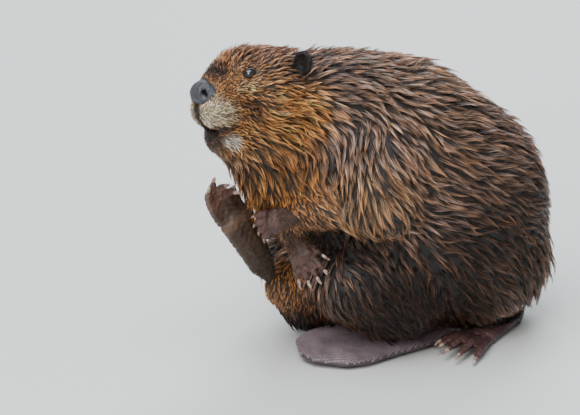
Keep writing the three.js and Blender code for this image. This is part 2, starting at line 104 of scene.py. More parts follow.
def toLimb(p, start, end, fromRadius, toRadius):
    a, d = np.array(start, float), np.array(end, float) - np.array(start, float)
    t = np.clip((p - a) @ d / (d @ d), 0, 1)
    return np.linalg.norm(p - a - t[:, None] * d, axis=1) - fromRadius - t * (toRadius - fromRadius)


# small tools for finishes

def newMaterial(name, roughness, specular=0.5):
    material = bpy.data.materials.new(name)
    material.use_nodes = True
    shader = material.node_tree.nodes["Principled BSDF"]
    shader.inputs["Roughness"].default_value = roughness
    shader.inputs["Specular IOR Level"].default_value = specular
    return material, material.node_tree, shader


def addNode(tree, kind, **values):
    node = tree.nodes.new(kind)
    for key, value in values.items():
        if key in node.inputs:
            node.inputs[key].default_value = value
        else:
            setattr(node, key, value)
    return node


def layOn(tree, *patterns):  # textures in the piece's own coordinates
    place = addNode(tree, "ShaderNodeTexCoord")
    for pattern in patterns:
        tree.links.new(place.outputs["Object"], pattern.inputs["Vector"])


def addBump(tree, shader, height, strength, depth):
    bump = addNode(tree, "ShaderNodeBump", Strength=strength, Distance=depth)
    tree.links.new(height, bump.inputs["Height"])
    tree.links.new(bump.outputs["Normal"], shader.inputs["Normal"])


def addRamp(tree, shader, pattern, stops):  # the colour goes from one stop to the other
    ramp = addNode(tree, "ShaderNodeValToRGB")
    for element, (place, colour) in zip(ramp.color_ramp.elements, stops):
        element.position, element.color = place, colour
    tree.links.new(pattern.outputs["Fac"], ramp.inputs["Fac"])
    tree.links.new(ramp.outputs["Color"], shader.inputs["Base Color"])


# camera, floor and light

cameraSet = {
    "azimuth": 65, "elevation": 20, "distance": 10.0, "clip": 60,  # degrees and metres
    "film": 36, "pixel": 1.25, "across": -150.0, "up": 153.1, "near": 120.0,  # millimetres
    "columns": 580,  # pixels
}


def setCamera():
    a, e = math.radians(cameraSet["azimuth"]), math.radians(cameraSet["elevation"])
    right = Vector((math.cos(a), math.sin(a), 0))
    back = Vector((math.cos(e) * math.sin(a), -math.cos(e) * math.cos(a), math.sin(e)))
    up = back.cross(right)
    target = Vector(shift / 1000) + right * cameraSet["across"] / 1000 + up * cameraSet["up"] / 1000
    target += back * cameraSet["near"] / 1000
    bpy.ops.object.camera_add(location=target + back * cameraSet["distance"])
    camera = bpy.context.object
    camera.rotation_euler = Matrix((right, up, back)).transposed().to_euler()
    width = cameraSet["columns"] / 1000 * cameraSet["pixel"]
    camera.data.lens = cameraSet["film"] * cameraSet["distance"] / width
    camera.data.clip_end = cameraSet["clip"]
    scene.camera = camera


setCamera()


def deselectAll():
    if bpy.context.object and bpy.context.object.mode != "OBJECT":
        bpy.ops.object.mode_set(mode="OBJECT")
    bpy.ops.object.select_all(action="DESELECT")


deselectAll()
floorSet = {"size": 14.0, "drop": 0.0004, "colour": (0.68, 0.67, 0.64, 1), "roughness": 0.75}
bpy.ops.mesh.primitive_plane_add(size=floorSet["size"], location=(0, 0, -floorSet["drop"]))
floor = bpy.context.object
floor.name = "floor"
floorPaint, tree, shader = newMaterial("floor_paint", floorSet["roughness"])
shader.inputs["Base Color"].default_value = floorSet["colour"]
floor.data.materials.append(floorPaint)

lampSet = {  # place, aim, size, power and colour
    "sky": ((0.4, -0.9, 3.2), (0, 0, 0.2), 3.2, 165, (0.9, 0.95, 1.0)),
    "window": ((2.6, -2.4, 2.1), (0, -0.1, 0.2), 2.0, 80, (1, 0.97, 0.93)),
    "rim": ((-2.2, 1.6, 2.2), (0, 0, 0.25), 1.8, 110, (0.86, 0.93, 1.0)),
}
for lampName, (place, aim, size, power, colour) in lampSet.items():
    bpy.ops.object.light_add(type="AREA", location=place)
    light = bpy.context.object
    light.name = lampName
    light.data.size, light.data.energy, light.data.color = size, power, colour
    light.rotation_euler = (Vector(place) - Vector(aim)).to_track_quat("Z", "Y").to_euler()

roomSet = {"colour": (0.72, 0.79, 0.86, 1), "strength": 0.5}
scene.world = bpy.data.worlds.new("room")
scene.world.use_nodes = True
room = scene.world.node_tree.nodes["Background"]
room.inputs["Color"].default_value = roomSet["colour"]
room.inputs["Strength"].default_value = roomSet["strength"]
print("camera, floor and light")


# small tools for meshes

floorGap = {"skin": 0.0004, "hair": 0.0009}  # metres, so that nothing dips under the floor


def listOf(items, key, width, kind):
    out = np.empty(len(items) * width, kind)
    items.foreach_get(key, out)
    return out.reshape(-1, width)


def verticesOf(piece):
    return listOf(piece.data.vertices, "co", 3, np.float32).astype(float)


def normalsOf(piece):
    return listOf(piece.data.vertex_normals, "vector", 3, np.float32).astype(float)


def edgesOf(piece):
    return listOf(piece.data.edges, "vertices", 2, np.int32)


def trianglesOf(piece):
    piece.data.calc_loop_triangles()
    return listOf(piece.data.loop_triangles, "vertices", 3, np.int32)


def setVertices(piece, points):
    piece.data.vertices.foreach_set("co", np.asarray(points, np.float32).ravel())
    piece.data.update()


def grounded(piece):
    points = verticesOf(piece)
    points[:, 2] = np.maximum(points[:, 2], floorGap["skin"])
    setVertices(piece, points)


def averaged(values, edges, rounds, keep=0.0):  # values spread along the edges
    a, b = edges[:, 0], edges[:, 1]
    count = np.bincount(np.concatenate([a, b]), minlength=len(values))[:, None]
    for _ in range(rounds):
        total = np.zeros_like(values)
        for axis in range(values.shape[1]):
            column = values[:, axis]
            total[:, axis] = np.bincount(a, column[b], len(values)) + np.bincount(b, column[a], len(values))
        values = keep * values + (1 - keep) * total / np.maximum(count, 1)
    return values


def makeActive(piece):
    deselectAll()
    piece.select_set(True)
    bpy.context.view_layer.objects.active = piece


def joined(pieces):
    deselectAll()
    for piece in pieces:
        piece.select_set(True)
    bpy.context.view_layer.objects.active = pieces[0]
    bpy.ops.object.join()
    return bpy.context.object


def ballAt(place, radius, segments, rings):  # metres
    deselectAll()
    bpy.ops.mesh.primitive_uv_sphere_add(
        segments=segments, ring_count=rings, radius=radius, location=place)
    bpy.ops.object.transform_apply(location=True, rotation=True, scale=True)
    return bpy.context.object


def copyOf(label, names):  # the nodes' own shapes as one new object
    copies = []
    for name in names:
        copy = bpy.data.objects.new(label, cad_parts[name].data.copy())
        scene.collection.objects.link(copy)
        copy.data.materials.clear()
        copies.append(copy)
    piece = joined(copies)
    piece.name = label
    bpy.ops.object.mode_set(mode="EDIT")
    bpy.ops.mesh.select_all(action="SELECT")
    bpy.ops.mesh.remove_doubles(threshold=0.00002)
    bpy.ops.object.mode_set(mode="OBJECT")
    return piece


def applied(piece, kind, **settings):
    makeActive(piece)
    modifier = piece.modifiers.new(kind.lower(), kind)
    for key, value in settings.items():
        setattr(modifier, key, value)
    bpy.ops.object.modifier_apply(modifier=modifier.name)
    return piece


def largestShell(piece):
    makeActive(piece)
    bpy.ops.object.mode_set(mode="EDIT")
    bpy.ops.mesh.select_all(action="SELECT")
    bpy.ops.mesh.separate(type="LOOSE")
    bpy.ops.object.mode_set(mode="OBJECT")
    parts = sorted(bpy.context.selected_objects, key=lambda part: -len(part.data.vertices))
    for crumb in parts[1:]:
        bpy.data.objects.remove(crumb)
    return parts[0]


def shellOf(label, names, voxel, swell, smoothing, plugs=()):  # one closed skin round nodes and balls
    piece = copyOf(label, names)
    if swell:
        applied(piece, "DISPLACE", strength=swell, mid_level=0)
    balls = [ballAt(metres(centre), radius / 1000, 24, 14) for centre, radius in plugs]
    if balls:
        piece = joined([piece] + balls)
    applied(piece, "REMESH", mode="VOXEL", voxel_size=voxel)
    piece = largestShell(piece)
    applied(piece, "SMOOTH", factor=0.5, iterations=smoothing)
    piece.name = label
    return piece


# the skin under the coat

skinSet = {  # metres, the share of faces kept, and depths in millimetres
    "voxel": 0.0026, "swell": 0.0013, "insetVoxel": 0.0024, "bodyKept": 0.32, "bodyDepth": 8.5,
    "headDepth": 3.2, "limbDepth": 2.5, "lidDepth": 0.6, "rumpMore": 4.0, "muzzleLess": 2.0,
}
fleshNodes = ["trunk", "neck", "head", "left_arm", "right_arm", "left_leg", "right_leg"]
pawNodes = ["right_foot", "left_foot", "left_hand", "right_hand"]
wrists = {"left": (53, -173, 201), "right": (29, -172, 164)}
ankles = {"left": (44, 84, 60), "right": (-12, -168, 76)}
limbEnds = list(wrists.values()) + list(ankles.values())
limbPlugs = [  # balls that carry each limb on into its paw
    (wrists["left"], 18), (wrists["right"], 18), (ankles["left"], 30), (ankles["right"], 22),
    ((26, 128, 34), 26), ((-9, -180, 84), 16), ((52, -178, 200), 13), ((34, -173, 160), 13),
]
skin = shellOf("skin", fleshNodes, skinSet["voxel"], skinSet["swell"], 6, limbPlugs)
print("flesh joined:", len(skin.data.polygons), "faces")


def coatDepth(p):  # how far the skin lies under the coat's outline
    level = inHead(p)
    ahead = smoothStep(-130, -215, level[:, 1]) * smoothStep(255, 285, p[:, 2])
    rear = smoothStep(110, 180, p[:, 1]) * smoothStep(150, 90, p[:, 2])
    depth = skinSet["bodyDepth"] * (1 - ahead) + skinSet["headDepth"] * ahead
    depth += skinSet["rumpMore"] * rear - skinSet["muzzleLess"] * smoothStep(-245, -285, level[:, 1]) * ahead
    for place in limbEnds:
        near = smoothStep(60, 30, np.linalg.norm(p - np.array(place), axis=1))
        depth = depth * (1 - near) + skinSet["limbDepth"] * near
    for sign in (-1, 1):
        near = smoothStep(26, 11, np.linalg.norm(p - eyePlace(sign), axis=1))
        depth = depth * (1 - near) + skinSet["lidDepth"] * near
    return depth


before = verticesOf(skin)
inward = averaged(normalsOf(skin), edgesOf(skin), 3)
setVertices(skin, before - unit(inward) * coatDepth(millimetres(before))[:, None] / 1000)
applied(skin, "REMESH", mode="VOXEL", voxel_size=skinSet["insetVoxel"])
skin = largestShell(skin)
skin.name = "skin"
applied(skin, "SMOOTH", factor=0.5, iterations=5)
grounded(skin)

socketSet = {  # the way out of the left eye and to its front corner, millimetres, and angles
    "way": (0.86, -0.36, 0.34), "ahead": (-0.4, -1.0, -0.28),
    "reach": 17.0, "rest": 7.2, "open": 0.86, "shut": 1.22, "squint": 1.8,
}
eyes = {}
for name, sign in (("left_eye", 1), ("right_eye", -1)):
    middle = eyePlace(sign)
    outward = unit(onHead(mirrored(eyeLevel, sign) + mirrored(socketSet["way"], sign))[0] - middle)
    ahead = onHead(mirrored(eyeLevel, sign) + mirrored(socketSet["ahead"], sign))[0] - middle
    ahead = unit(ahead - outward * (ahead @ outward))
    eyes[name] = (outward, ahead)
    away = millimetres(verticesOf(skin)) - middle
    distance = np.linalg.norm(away, axis=1)
    turned = np.arccos(np.clip(unit(away) @ outward, -1, 1))
    share = np.abs(unit(away - outward * (away @ outward)[:, None]) @ ahead)
    turned = turned * np.sqrt(share ** 2 + (1 - share ** 2) * socketSet["squint"] ** 2)
    sunk = smoothStep(socketSet["shut"], socketSet["open"], turned) * (distance < socketSet["reach"])
    kept = distance * (1 - sunk) + np.minimum(distance, socketSet["rest"]) * sunk
    setVertices(skin, metres(middle + unit(away) * kept[:, None]))

thinHere = skin.vertex_groups.new(name="thin_here")  # all but the head
level = inHead(millimetres(verticesOf(skin)))
coarse = np.nonzero((level[:, 1] > -190) | (level[:, 2] < 268))[0]
thinHere.add(coarse.tolist(), 1.0, "REPLACE")
applied(skin, "DECIMATE", ratio=skinSet["bodyKept"], vertex_group="thin_here", use_collapse_triangulate=True)
skin.vertex_groups.clear()
grounded(skin)
print("skin inset:", len(skin.data.polygons), "faces")


# the bare parts: paws, ears and nose

pawPlugs = {  # where each hand goes on into its arm
    "left_hand": [((50, -184, 196), 11), ((56, -178, 199), 12)],
    "right_hand": [((38, -174, 158), 11), ((33, -176, 164), 12)],
}
bareVoxel = {"paw": 0.0012, "ear": 0.0011, "nose": 0.0008}
paws, ears = {}, {}
for name in pawNodes:
    paws[name] = shellOf(name + "_skin", [name], bareVoxel["paw"], 0.0, 4, pawPlugs.get(name, ()))
for name in ("left_ear", "right_ear"):
    ears[name] = shellOf(name + "_skin", [name], bareVoxel["ear"], 0.0, 3)

noseSet = {  # millimetres on a level head, but for the swell in metres
    "swell": 0.0011, "nostril": (16.8, -287.8, 358.6), "aside": (0.80, 0.5, -0.1), "slant": 0.8,
    "half": (3.9, 4.3), "depth": 6.5, "rim": 1.2, "groove": 1.4, "crumple": 0.5,
    "colour": (0.054, 0.054, 0.060),
}
nosePad = shellOf("nose_skin", ["nose"], bareVoxel["nose"], noseSet["swell"], 5)
nosePoints, noseNormals = verticesOf(nosePad), normalsOf(nosePad)
level = inHead(millimetres(nosePoints))
nosePit, noseRim = np.zeros(len(level)), np.zeros(len(level))
for sign in (-1, 1):
    offset = level - mirrored(noseSet["nostril"], sign)
    aside = offset @ unit(mirrored(noseSet["aside"], sign))
    slant = offset[:, 2] + noseSet["slant"] * aside
    k = np.hypot(aside / noseSet["half"][0], slant / noseSet["half"][1])
    nosePit += smoothStep(1.25, 0.35, k)
    noseRim += np.exp(-((k - 1.85) / 0.5) ** 2)
groove = np.exp(-(level[:, 0] / 2.2) ** 2) * smoothStep(370, 350, level[:, 2])
crumpled = noseSet["crumple"] * np.sin(level @ (1.1, 0.5, 0.9)) * np.sin(level @ (-0.4, 0.9, 1.3))
push = noseSet["rim"] * noseRim - noseSet["depth"] * nosePit - noseSet["groove"] * groove + crumpled
setVertices(nosePad, nosePoints + noseNormals * push[:, None] / 1000)
applied(nosePad, "SMOOTH", factor=0.5, iterations=1)

foot = {"reach": 104, "half": 24.5, "step": 0.39}  # to the pads, half width, and pad to pad
hand = {"reach": 35, "half": 17, "step": 0.44}
pawSet = {  # root, way ahead, way out of the upper side, the thumb's side, shape and colour
    "right_foot": ((-8, -187, 92), (-0.05, -0.47, 0.88), (-0.93, -0.05, -0.3), -1, foot, (0.050, 0.029, 0.018)),
    "left_foot": ((26, 146, 11.4), (0.5, -0.86, -0.03), (0.1, 0, 1), 1, foot, (0.055, 0.029, 0.028)),
    "left_hand": ((56, -178, 199), (-0.6, -0.73, -0.33), (0.74, -0.36, 0.58), 1, hand, (0.048, 0.024, 0.018)),
    "right_hand": ((33, -176, 164), (0.61, 0.16, -0.78), (0.66, -0.66, 0.38), -1, hand, (0.050, 0.025, 0.018)),
}
# the last entry is how far the paint follows the relief, as painted light on the pads and painted shade in the
# creases
reliefSet = {"padSize": 0.30, "pad": 2.4, "knuckle": 1.1, "fold": 0.55, "reliefShading": 0.42}
toeSet = {"colour": (0.190, 0.085, 0.066), "lifted": 0.45, "other": 0.2}  # rosy tips, on the sole if lifted
pawTint = {}
for name, (root, ahead, back, side, shape, colour) in pawSet.items():
    points, outward = verticesOf(paws[name]), normalsOf(paws[name])
    ahead = unit(np.array(ahead, float))
    back = unit(np.array(back) - ahead * (ahead @ np.array(back)))
    inner = np.cross(ahead, back) * side
    place = millimetres(points) - np.array(root)
    f, w = place @ ahead, place @ inner
    reach, half, step = shape["reach"], shape["half"], shape["step"]
    under = smoothStep(0.3, -0.5, outward @ back)
    relief = np.zeros(len(points))
    size = half * reliefSet["padSize"]
    for k in range(5):
        across = half * (1.9 * step - step * k)
        pad = np.exp(-((f - reach + 3 * abs(k - 2)) ** 2 / 1.3 + (w - across) ** 2) / size ** 2)
        relief += under * reliefSet["pad"] * pad + (1 - under) * reliefSet["knuckle"] * pad
    folds = np.sin(0.75 * f + 1.6 * np.sin(0.21 * w + 0.05 * f)) * np.sin(0.33 * w + 0.11 * f + 1.0)
    nearToes = smoothStep(0.35 * reach, 0.75 * reach, f)
    relief += (0.25 + 0.65 * nearToes) * folds * reliefSet["fold"]
    setVertices(paws[name], points + outward * relief[:, None] / 1000)
    applied(paws[name], "SMOOTH", factor=0.5, iterations=1)
    lifted = name == "right_foot"
    tips = smoothStep(1.16, 1.38, f / reach) * smoothStep(-0.5, 0.4, outward @ (-back if lifted else back))
    rosy = toeSet["lifted" if lifted else "other"] * tips[:, None]
    # the paw's colour follows its relief: painted light on the raised pads and ridges, painted shade in the
    # creases
    reliefShading = np.clip(1 + reliefSet["reliefShading"] * relief, 0.35, 2.1)[:, None]
    pawTint[name] = (np.array(colour) * (1 - rosy) + np.array(toeSet["colour"]) * rosy) * reliefShading
print("paws, ears and nose", [len(part.data.polygons) for part in (*paws.values(), *ears.values(), nosePad)])


# markings, the same on skin and coat, as linear colours

coatColour = {
    "back": (0.215, 0.145, 0.118), "flank": (0.062, 0.033, 0.020), "shoulder": (0.260, 0.165, 0.118),
    "arm": (0.280, 0.168, 0.094), "knee": (0.028, 0.013, 0.008), "belly": (0.200, 0.110, 0.072),
    "head": (0.370, 0.190, 0.078), "crown": (0.230, 0.118, 0.072), "cheek": (0.520, 0.255, 0.090),
    "throat": (0.330, 0.145, 0.038), "chest": (0.330, 0.150, 0.044), "ankle": (0.300, 0.148, 0.056),
    "pad": (0.930, 0.790, 0.560), "chin": (0.060, 0.034, 0.027), "lipPatch": (0.800, 0.730, 0.620),
    "browDark": (0.060, 0.036, 0.028), "eyePatch": (0.640, 0.420, 0.220), "rumpRim": (0.200, 0.115, 0.072),
    "lip": (0.036, 0.021, 0.018), "shadow": (0.160, 0.078, 0.030), "shade": (0.026, 0.014, 0.010),
}
bodyMarks = [  # name, middle, half sizes and softness
    ("shoulder", (40, -40, 290), (110, 80, 80), 0.5), ("shoulder", (-40, -40, 290), (110, 80, 80), 0.5),
    ("flank", (30, 70, 140), (160, 112, 100), 0.45), ("rumpRim", (0, 190, 150), (70, 50, 120), 0.6),
    ("belly", (0, -60, 60), (130, 130, 60), 0.4),
    ("arm", (96, -120, 222), (60, 70, 50), 0.5), ("arm", (-96, -120, 205), (60, 70, 50), 0.5),
    ("knee", (80, -50, 80), (66, 110, 72), 0.4), ("knee", (-105, -50, 80), (50, 80, 72), 0.4),
    ("ankle", (-14, -168, 84), (30, 30, 40), 0.4),
    ("throat", (0, -190, 270), (66, 60, 50), 0.4), ("chest", (0, -175, 225), (80, 60, 60), 0.4),
    ("shade", (24, -110, 164), (80, 70, 26), 0.6), ("knee", (-34, -118, 36), (60, 60, 40), 0.5),
]
headMarks = [  # the same on a level head, on both sides unless the middle lies between them
    ("crown", (0, -185, 394), (48, 76, 24), 0.5), ("cheek", (45, -190, 322), (36, 50, 34), 0.5),
    ("shadow", (50, -242, 334), (12, 13, 26), 0.6), ("browDark", (10, -267, 379), (22, 13, 10), 0.5),
    ("browDark", (52, -184, 378), (16, 16, 22), 0.5), ("pad", (22, -281, 333), (20, 26, 18), 0.42),
    ("lip", (0, -282, 312), (34, 34, 6), 0.4), ("lip", (0, -296, 326), (9, 13, 24), 0.5),
    ("chin", (0, -268, 298), (23, 28, 13), 0.4),
    ("lipPatch", (24, -263, 294), (8, 10, 9), 0.4), ("eyePatch", (42, -240, 359), (10, 16, 8), 0.6),
]


def markings(p):
    level = inHead(p)
    colour = np.tile(np.array(coatColour["back"]), (len(p), 1))
    headness = smoothStep(-140, -205, level[:, 1]) * smoothStep(262, 292, p[:, 2])
    colour += (np.array(coatColour["head"]) - colour) * headness[:, None]
    for name, middle, half, soft in bodyMarks:
        k = np.linalg.norm((p - np.array(middle)) / np.array(half), axis=1)
        weight = smoothStep(1 + soft, 1 - soft, k) * (1 - headness)
        colour += (np.array(coatColour[name]) - colour) * weight[:, None]
    for name, middle, half, soft in headMarks:
        for sign in (-1, 1) if middle[0] else (-1,):
            k = np.linalg.norm((level - mirrored(middle, sign)) / np.array(half), axis=1)
            weight = smoothStep(1 + soft, 1 - soft, k)
            colour += (np.array(coatColour[name]) - colour) * weight[:, None]
    return colour


# the lie of the coat

headLie = [  # middle and radii on a level head, and which way the hair goes there
    ((0, -205, 362), (50, 70, 44), (0, 1, 0.12)),
    ((0, -262, 345), (34, 40, 30), (0, 1, 0.1)),
    ((35, -200, 325), (30, 44, 34), (0.1, 1, -0.12)),
    ((-35, -200, 325), (30, 44, 34), (-0.1, 1, -0.12)),
    ((0, -240, 300), (30, 45, 20), (0, 0.9, -0.5)),
]
throatLie = [  # start, end, radii and way
    ((-2, -221, 281), (-6, -184, 231), 35, 37, (0, 0.15, -1)),
    ((-2, -200, 262), (0, -136, 236), 42, 58, (0, 0.3, -0.95)),
]
bodyLie = [  # middle, radii and way
    ((0, -108, 310), (78, 84, 80), (0, 1, -0.42)),
    ((0, -26, 276), (100, 98, 92), (0, 0.6, -0.8)),
    ((0, -84, 236), (102, 96, 100), (0, 0.1, -1)),
    ((0, 10, 200), (132, 118, 138), (0, 0.9, -0.45)),
    ((0, 72, 166), (126, 110, 124), (0, 0.85, -0.55)),
    ((0, 56, 101), (112, 108, 105), (0, 0.7, -0.7)),
    ((0, -64, 104), (84, 84, 82), (0, -0.1, -1)),
    ((0, 98, 80), (102, 92, 76), (0, 0.55, -0.85)),
]
limbLie = [  # start, end, radii and way
    ((76, -72, 262), (100, -88, 212), 54, 42, (0, 0.15, -1)),
    ((100, -88, 212), wrists["left"], 40, 19, (0.1, 0.75, -0.65)),
    ((-76, -72, 262), (-102, -98, 190), 54, 42, (0, 0.15, -1)),
    ((-102, -98, 190), wrists["right"], 40, 19, (0.1, 0.3, -0.9)),
    ((56, 45, 122), (64, -106, 96), 68, 50, (0, 0.35, -0.9)),
    ((64, -106, 96), ankles["left"], 48, 32, (0, 0.5, -0.8)),
    ((-56, 45, 122), (-96, -92, 94), 68, 50, (0, 0.35, -0.9)),
    ((-96, -92, 94), ankles["right"], 48, 25, (0, 0.1, -1)),
    ((-12, -168, 76), (-34, -120, 46), 27, 42, (0, 0.15, -1)),
]
lieSet = {"under": 9, "bodyReach": 12, "limbReach": 9, "limbPull": 1.5, "rounds": 14, "kept": 0.3}


def lieOf(p, n):
    level = inHead(p)
    near = [(toBall(level, *ball), way) for *ball, way in headLie]
    near += [(toLimb(p, *limb), way) for *limb, way in throatLie]
    near += [(toBall(p, *ball), way) for *ball, way in bodyLie]
    total = np.zeros_like(p)
    for distance, way in near:
        weight = np.exp(-np.clip(distance + lieSet["under"], -5, 200) / lieSet["bodyReach"])
        total += weight[:, None] * unit(np.array(way, float))
    for *limb, way in limbLie:
        away = np.clip(toLimb(p, *limb) + lieSet["under"], -5, 200)
        weight = lieSet["limbPull"] * np.exp(-away / lieSet["limbReach"])
        total += weight[:, None] * unit(np.array(way, float))
    total -= n * np.sum(total * n, axis=1)[:, None]
    return unit(total)


lengthSet = {  # millimetres, and the share taken off round the eyes
    "back": 37, "frontLess": 4, "bellyLess": 7, "nose": 7.0, "crownMore": 14, "cheekMore": 13,
    "bridgeLess": 3.0, "limbEnd": 11, "eyeLess": 0.55,
}


def hairLength(p):
    level = inHead(p)
    length = lengthSet["back"] - lengthSet["frontLess"] * smoothStep(40, -60, p[:, 1])
    length -= lengthSet["bellyLess"] * smoothStep(90, 40, p[:, 2])
    headness = smoothStep(-130, -200, level[:, 1]) * smoothStep(262, 300, p[:, 2])
    face = lengthSet["nose"] + lengthSet["crownMore"] * smoothStep(-275, -190, level[:, 1])
    face += lengthSet["cheekMore"] * smoothStep(352, 318, level[:, 2]) * smoothStep(-250, -215, level[:, 1])
    face -= lengthSet["bridgeLess"] * smoothStep(-235, -262, level[:, 1]) * smoothStep(330, 350, level[:, 2])
    length = length * (1 - headness) + face * headness
    for place in limbEnds:
        near = smoothStep(58, 22, np.linalg.norm(p - np.array(place), axis=1))
        length = length * (1 - near) + lengthSet["limbEnd"] * near
    for sign in (-1, 1):
        near = smoothStep(22, 9, np.linalg.norm(p - eyePlace(sign), axis=1))
        length *= 1 - lengthSet["eyeLess"] * near
    return length


skinPoints, skinNormals = verticesOf(skin), normalsOf(skin)
flow = lieOf(millimetres(skinPoints), skinNormals)
flow = averaged(flow, edgesOf(skin), lieSet["rounds"], lieSet["kept"])
flow -= skinNormals * np.sum(flow * skinNormals, axis=1)[:, None]
flow = unit(flow)
ripple = millimetres(skinPoints) / np.array((31.0, 37.0, 29.0))  # the hair turns aside in waves
swirl = 0.22 * np.sin(ripple @ (1.0, 0.6, 0.4) + 1.7 * np.sin(ripple @ (-0.5, 1.0, 0.7)))
swirl += 0.12 * np.sin(3.1 * ripple @ (0.4, -0.8, 1.0))
flow = unit(flow * np.cos(swirl)[:, None] + np.cross(skinNormals, flow) * np.sin(swirl)[:, None])
skinTriangles = trianglesOf(skin)
corners = skinPoints[skinTriangles]
faceCrosses = np.cross(corners[:, 1] - corners[:, 0], corners[:, 2] - corners[:, 0])
faceAreas = np.linalg.norm(faceCrosses, axis=1) / 2
faceNormals = unit(skinNormals[skinTriangles].mean(axis=1))
faceFlow = unit(flow[skinTriangles].mean(axis=1))
skinTree = BVHTree.FromPolygons(skinPoints.tolist(), skinTriangles.tolist())
print("lie of the coat; skin area", round(float(faceAreas.sum()), 4), "m2")


# where the locks of hair stand

def fineness(p, longest):  # short hair stands closer
    return np.clip(hairLength(p) / longest, 0.42, 1.0)


def scatter(spacing, longest, allowed):  # roots on the skin, evenly spread
    middles = millimetres(corners.mean(axis=1))
    chance = faceAreas * allowed(middles) / fineness(middles, longest) ** 2
    count = int(3.2 * chance.sum() / (spacing / 1000) ** 2)
    face = rng.choice(len(chance), count, p=chance / chance.sum())
    u, v = rng.random(count), rng.random(count)
    flip = u + v > 1
    u[flip], v[flip] = 1 - u[flip], 1 - v[flip]
    c = corners[face]
    points = c[:, 0] + u[:, None] * (c[:, 1] - c[:, 0]) + v[:, None] * (c[:, 2] - c[:, 0])
    tree = kdtree.KDTree(count)
    for i, point in enumerate(points):
        tree.insert(point, i)
    tree.balance()
    free = np.ones(count, bool)
    reach = 0.74 * spacing * fineness(millimetres(points), longest) / 1000
    for i in range(count):
        if not free[i]:
            continue
        for _, j, _ in tree.find_range(points[i], reach[i]):
            if j > i:
                free[j] = False
    return points[free], face[free]


def streamlines(points, faces, lengths, steps):  # each root's line over the skin, with the normals
    lines = np.zeros((len(points), steps + 1, 3))
    normals = np.zeros_like(lines)
    for i, (point, face, length) in enumerate(zip(points, faces, lengths)):
        lines[i, 0], normals[i, 0] = point, faceNormals[face]
        here = Vector(point)
        for k in range(steps):
            ahead = here + Vector(faceFlow[face]) * (length / steps / 1000)
            here, _, face, _ = skinTree.find_nearest(ahead)
            lines[i, k + 1], normals[i, k + 1] = here, faceNormals[face]
    return lines, normals


def noseDistance(level):  # from the bare pad of the nose, wings included
    away = toBall(level, (0, -281, 357), (15, 17, 15))
    for sign in (-1, 1):
        away = np.minimum(away, toBall(level, (12 * sign, -278, 353), (13, 17, 13)))
    return away


def isFace(p):
    level = inHead(p)
    return (level[:, 1] < -172) & (level[:, 2] > 280) & (p[:, 1] < -165)


def isMuzzle(p):
    level = inHead(p)
    return level[:, 1] + 0.35 * np.abs(level[:, 0]) - 0.2 * (level[:, 2] - 340) < -240


stirred = [  # middle, on the head or not, how wide, and how many millimetres the hair stands up there
    ((-8, -194, 218), False, 46, 11), ((-22, -164, 156), False, 46, 22), ((-97, -136, 114), False, 42, 28),
    ((12, -238, 392), True, 30, 5),
    ((47, -190, 386), True, 20, 6), ((-47, -190, 386), True, 20, 6), ((40, -185, 318), True, 34, 4),
]


def stirring(p):
    added = np.zeros(len(p))
    for middle, head, wide, high in stirred:
        away = np.linalg.norm((inHead(p) if head else p) - np.array(middle), axis=1)
        added = np.maximum(added, high * smoothStep(wide, 0.5 * wide, away))
    return added


bareSpots = {  # millimetres: half sizes round eye and mouth, and distances from nose and floor
    "eye": (9.5, 10.2, 7.0), "mouth": (0, -284, 312.5), "mouthHalf": (25, 33, 5), "nose": 1.2, "floor": 3.5,
}


def outside(level, middle, half):
    return np.linalg.norm((level - np.array(middle)) / np.array(half), axis=1) > 1


def mayGrow(p):
    level = inHead(p)
    keep = (p[:, 2] > bareSpots["floor"]) & (noseDistance(level) > bareSpots["nose"])
    for sign in (-1, 1):
        keep &= outside(level, mirrored(eyeLevel, sign), bareSpots["eye"])
    return keep & outside(level, bareSpots["mouth"], bareSpots["mouthHalf"])


